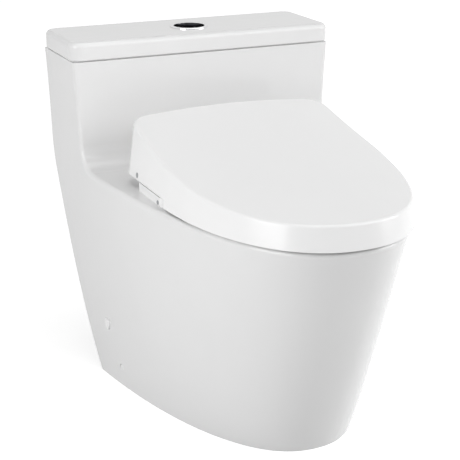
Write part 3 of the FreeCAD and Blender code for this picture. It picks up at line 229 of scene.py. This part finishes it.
def drawn_metal(name, dark, pale, rough, stretch):
    """Turned or drawn metal, with lines along one direction."""
    mixing = Finish(name)
    lines = mixing.noise(scale=420.0, detail=4.0, stretch=stretch)
    stain = mixing.noise(scale=24.0, detail=3.0)
    return mixing.surface(
        Base_Color=mixing.mix(lines * 0.6 + stain * 0.4, dark, pale),
        Metallic=1.0,
        Roughness=rough + 0.18 * lines,
        Normal=mixing.bump(lines, strength=0.10, distance=0.0004),
    )


def soft_rubber(name, dark, pale):
    """Matt rubber with a fine bloom."""
    mixing = Finish(name)
    bloom = mixing.noise(scale=120.0, detail=4.0)
    pores = mixing.noise(scale=1600.0, detail=2.0)
    return mixing.surface(
        Base_Color=mixing.mix(bloom, dark, pale),
        Roughness=0.62 + 0.2 * bloom,
        Normal=mixing.bump(pores, strength=0.15, distance=0.0004),
    )


def lacquered_board():
    """Green circuit board with paler tracks."""
    mixing = Finish("circuit_board")
    tracks = mixing.node("ShaderNodeTexBrick", None, {
        "Vector": mixing.place(), "Scale": 160.0, "Color1": (0.02, 0.16, 0.05), "Color2": (0.03, 0.20, 0.07),
        "Mortar": (0.20, 0.42, 0.18), "Mortar Size": 0.03})
    cloud = mixing.noise(scale=80.0, detail=2.0)
    return mixing.surface(Base_Color=tracks, Roughness=0.28 + 0.12 * cloud)


def live_spring(name, body, joint, along):
    """A merged, smooth-shaded copy of a spring's coil on its button's body, in place of the hidden CAD coil."""
    bpy.ops.object.select_all(action="DESELECT")
    nodes[name].select_set(True)
    bpy.context.view_layer.objects.active = nodes[name]
    bpy.ops.object.duplicate()
    coil = bpy.context.object
    coil.name = name + "_coil"
    del coil["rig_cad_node"]
    bpy.ops.object.mode_set(mode="EDIT")
    bpy.ops.mesh.select_all(action="SELECT")
    bpy.ops.mesh.remove_doubles(threshold=weld_reach)
    bpy.ops.object.mode_set(mode="OBJECT")
    bpy.ops.object.shade_smooth_by_angle(angle=crease_angle)
    low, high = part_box(name)
    travel = joint_of[joint]["range_m"][1]
    length = (Vector(high) - Vector(low)).dot(Vector(along))
    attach(coil, body)
    1.0 - travel / length
    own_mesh(coil)
    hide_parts(name)


def seen_share(mixing):
    """One for a ray that looks at the studio directly, in metal or through glass, and nought for light."""
    path = mixing.tree.nodes.new("ShaderNodeLightPath")
    kinds = ("Is Camera Ray", "Is Glossy Ray", "Is Transmission Ray")
    camera, glossy, clear = (Wire(mixing, path.outputs[kind]) for kind in kinds)
    return camera + glossy + clear


def studio_floor():
    """A wide pale floor that stays white round the object and keeps a soft shadow."""
    bpy.ops.object.select_all(action="DESELECT")
    bpy.ops.mesh.primitive_plane_add(size=floor_width, location=(0, 0, 0))
    floor = bpy.context.object
    floor.name = "studio_floor"
    mixing = Finish("floor_paint")
    grain = mixing.noise(scale=3.0, detail=2.0)
    far = mixing.node("ShaderNodeVectorMath", {"operation": "LENGTH"}, {0: mixing.place()}, "Value")
    glow = mixing.node("ShaderNodeMapRange", None, {
        "Value": far, "From Min": glow_start, "From Max": glow_end, "To Min": near_glow, "To Max": far_glow})
    seen_glow = glow * seen_share(mixing)
    mixing.surface(
        Base_Color=mixing.mix(grain, grey(floor_dark), grey(floor_pale)),
        Roughness=floor_rough,
        Emission_Color=mixing.node("ShaderNodeCombineColor", None, dict.fromkeys(range(3), seen_glow)),
        Emission_Strength=1.0,
    )
    floor.data.materials.append(mixing.owner)


def studio_air():
    """A pale room: white where it is seen, softer where it lights."""
    world = bpy.context.scene.world or bpy.data.worlds.new("studio")
    bpy.context.scene.world = world
    mixing = Finish("studio", world)
    air = mixing.tree.nodes["Background"]
    mixing.join(air.inputs["Color"], mixing.mix(seen_share(mixing), grey(air_light), grey(1.0)))


def soft_box(name, place, size, power):
    """A square soft lamp that looks at the middle of the object."""
    bpy.ops.object.light_add(type="AREA", location=place)
    lamp = bpy.context.object
    lamp.name = name
    lamp.data.size = size
    lamp.data.energy = power
    lamp.visible_camera = False
    lamp.rotation_euler = (lamp_aim - Vector(place)).to_track_quat("-Z", "Y").to_euler()


def photo_camera():
    """The photograph's own viewpoint."""
    bpy.ops.object.camera_add()
    camera = bpy.context.object
    camera.name = "photo_camera"
    level = math.cos(camera_elevation)
    back = Vector((math.sin(camera_azimuth) * level, -math.cos(camera_azimuth) * level,
                   math.sin(camera_elevation)))
    camera.location = camera_place
    camera.rotation_mode = "QUATERNION"
    camera.rotation_quaternion = (-back).to_track_quat("-Z", "Y")
    camera.data.sensor_width = camera_film
    camera.data.lens = camera_lens
    camera.data.clip_start, camera.data.clip_end = camera_near, camera_far
    bpy.context.scene.camera = camera


finishes = {
    "china": glaze(),
    "white_plastic": moulded_gloss(),
    "inner_plastic": moulded("white_inner_moulding", dark=(0.74, 0.75, 0.75), pale=(0.84, 0.85, 0.85), rough=0.36),
    "grey_plastic": moulded("grey_moulding", dark=(0.26, 0.27, 0.28), pale=(0.36, 0.37, 0.38), rough=0.38),
    "dark_plastic": moulded("black_moulding", dark=(0.018, 0.018, 0.02), pale=(0.05, 0.05, 0.055), rough=0.42),
    "blue_plastic": moulded("blue_moulding", dark=(0.03, 0.13, 0.33), pale=(0.06, 0.20, 0.45), rough=0.34),
    "chrome": polished("bright_chrome", dark=(0.72, 0.72, 0.73), pale=(0.80, 0.80, 0.81), rough=0.04, edge=0.85),
    "steel": drawn_metal("plain_steel", dark=grey(0.42), pale=grey(0.60), rough=0.24, stretch=(1.0, 1.0, 0.05)),
    "brass": drawn_metal("turned_brass", dark=(0.55, 0.38, 0.13), pale=(0.76, 0.58, 0.26), rough=0.22,
                         stretch=(1.0, 0.06, 1.0)),
    "rubber": soft_rubber("black_rubber", dark=grey(0.02), pale=grey(0.05)),
    "white_rubber": soft_rubber("white_rubber", dark=(0.68, 0.68, 0.67), pale=(0.78, 0.78, 0.77)),
    "board": lacquered_board(),
}
# The flush buttons' dark base colour and near-black edge tone are a painted dark reflection: they stand in for
# dark surroundings mirrored in chrome.
button_finish = polished("chrome_painted_dark_reflection", dark=(0.26, 0.26, 0.27), pale=(0.34, 0.34, 0.35), rough=0.06, edge=0.07)

for name, piece in nodes.items():
    finish = button_finish if name in ("full_flush_button", "half_flush_button") else finishes[slot_of[name]]
    piece.data.materials.clear()
    piece.data.materials.append(finish)

live_spring("full_button_spring", "tank_lid", "full_flush_press", (0, 0, 1))
live_spring("half_button_spring", "tank_lid", "half_flush_press", (0, 0, 1))
live_spring("release_spring", "toilet", "release_press", (1, 0, 0))

studio_floor()
studio_air()
for lamp in lamps:
    soft_box(*lamp)
photo_camera()
bpy.context.scene.view_settings.view_transform = "Standard"
